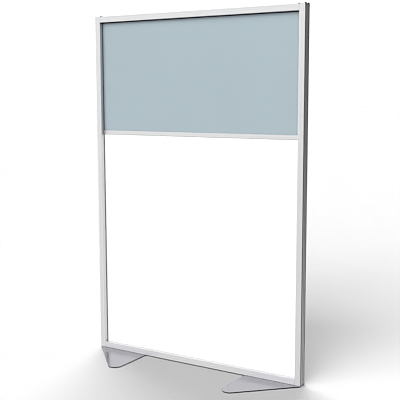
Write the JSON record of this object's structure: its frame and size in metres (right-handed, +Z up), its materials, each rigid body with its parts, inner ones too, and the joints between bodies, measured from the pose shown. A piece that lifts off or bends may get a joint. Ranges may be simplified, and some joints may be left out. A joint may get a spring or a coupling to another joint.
{
  "type": "partition screen",
  "caption": "Free-standing office partition: an aluminium frame holds a tinted panel above a white writing panel and stands on flat triangular foot plates.",
  "frame": {"origin": "on the floor under the middle of the screen", "axes": "+X along the width, to the right seen from the front; -Y towards the front; +Z up"},
  "size_m": [1.219, 0.5504, 1.8117],
  "materials": {
    "anodised_aluminium": "satin anodised",
    "foot_plate_metal": "satin, fairly reflective",
    "tinted_panel": "smooth satin, blue-grey",
    "writing_board": "smooth white, low gloss",
    "seal_rubber": "matt black",
    "black_plastic": "moulded",
    "grey_plastic": "moulded",
    "zinc_metal": "zinc plated",
    "black_steel": "black oxide"
  },
  "bodies": {
    "root": {"left_stile": "anodised_aluminium", "right_stile": "anodised_aluminium", "top_rail": "anodised_aluminium", "bottom_rail": "anodised_aluminium", "mid_rail": "anodised_aluminium", "upper_panel": "tinted_panel", "lower_panel": "writing_board", "upper_seal_left": "seal_rubber", "upper_seal_right": "seal_rubber", "upper_seal_top": "seal_rubber", "upper_seal_bottom": "seal_rubber", "lower_seal_left": "seal_rubber", "lower_seal_right": "seal_rubber", "lower_seal_top": "seal_rubber", "lower_seal_bottom": "seal_rubber", "corner_block_bottom_left_front": "zinc_metal", "corner_block_bottom_left_back": "zinc_metal", "corner_block_bottom_right_front": "zinc_metal", "corner_block_bottom_right_back": "zinc_metal", "corner_block_top_left_front": "zinc_metal", "corner_block_top_left_back": "zinc_metal", "corner_block_top_right_front": "zinc_metal", "corner_block_top_right_back": "zinc_metal", "corner_bolt_bottom_left_front": "black_steel", "corner_bolt_bottom_left_back": "black_steel", "corner_bolt_bottom_right_front": "black_steel", "corner_bolt_bottom_right_back": "black_steel", "corner_bolt_top_left_front": "black_steel", "corner_bolt_top_left_back": "black_steel", "corner_bolt_top_right_front": "black_steel", "corner_bolt_top_right_back": "black_steel", "mid_joiner_left": "zinc_metal", "mid_joiner_right": "zinc_metal", "mid_pin_left": "black_steel", "mid_pin_right": "black_steel", "stile_cap_left": "grey_plastic", "stile_cap_right": "grey_plastic", "slot_plug_left_front": "black_plastic", "slot_plug_left_back": "black_plastic", "slot_plug_right_front": "black_plastic", "slot_plug_right_back": "black_plastic", "rail_clip_left": "black_plastic", "rail_clip_right": "black_plastic", "foot_plate_left": "foot_plate_metal", "foot_plate_right": "foot_plate_metal", "nut_strip_left_front": "zinc_metal", "nut_strip_left_back": "zinc_metal", "nut_strip_right_front": "zinc_metal", "nut_strip_right_back": "zinc_metal", "foot_screw_left_front_1": "black_steel", "foot_screw_left_front_2": "black_steel", "foot_screw_left_back_1": "black_steel", "foot_screw_left_back_2": "black_steel", "foot_screw_right_front_1": "black_steel", "foot_screw_right_front_2": "black_steel", "foot_screw_right_back_1": "black_steel", "foot_screw_right_back_2": "black_steel"}
  },
  "joints": []
}
